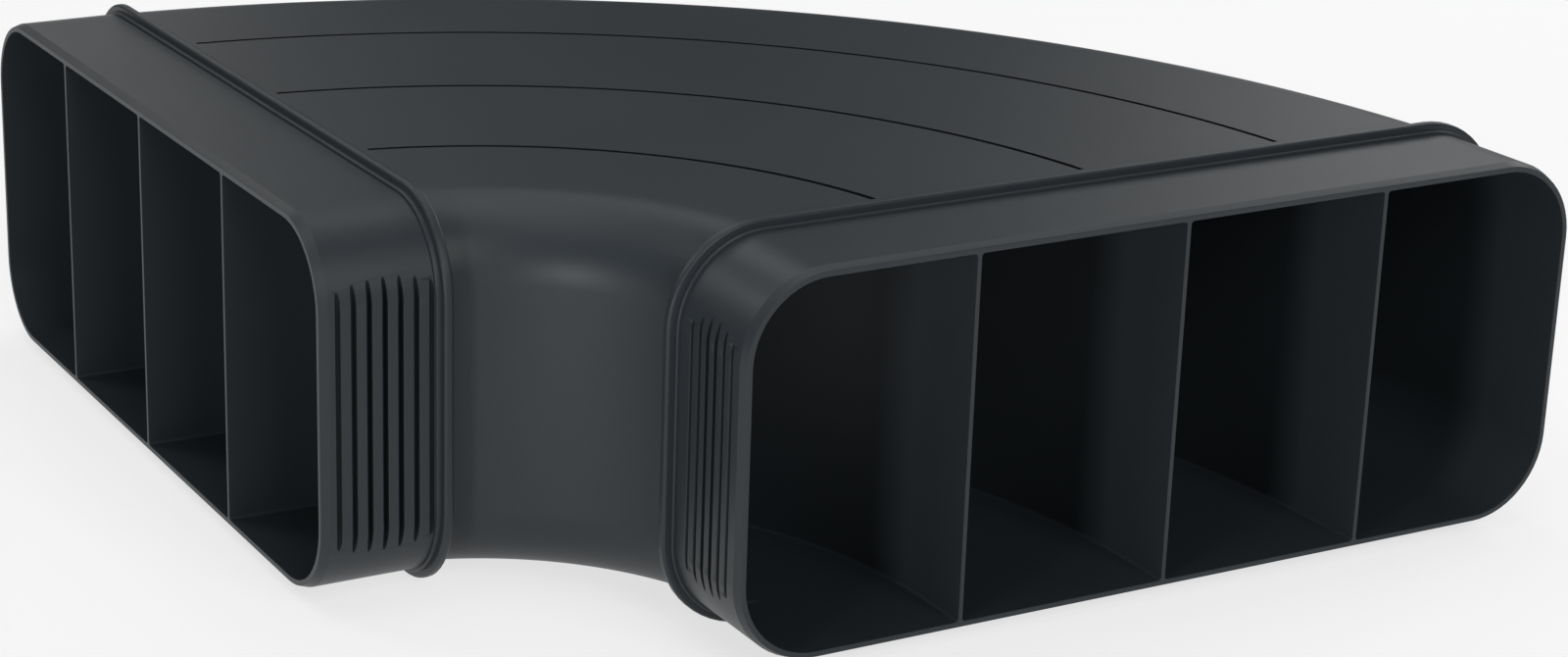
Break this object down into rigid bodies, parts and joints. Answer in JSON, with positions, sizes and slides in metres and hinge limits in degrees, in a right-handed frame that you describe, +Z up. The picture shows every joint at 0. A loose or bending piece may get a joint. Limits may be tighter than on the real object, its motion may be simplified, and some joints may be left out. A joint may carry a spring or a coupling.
{
  "type": "flat duct bend",
  "caption": "Horizontal ninety degree bend for flat channel duct, with rounded spigots at both ends, stop rings, grip grooves and curved guide vanes inside.",
  "frame": {"origin": "middle of the part's box, on the floor under its stop rings", "axes": "+Z up with the bend lying flat; the front spigot opens towards -Y and the side spigot towards -X"},
  "size_m": [0.2916, 0.2916, 0.094],
  "materials": {
    "body": "fine satin moulded anthracite"
  },
  "bodies": {
    "root": {"duct_elbow": "body"}
  },
  "joints": []
}
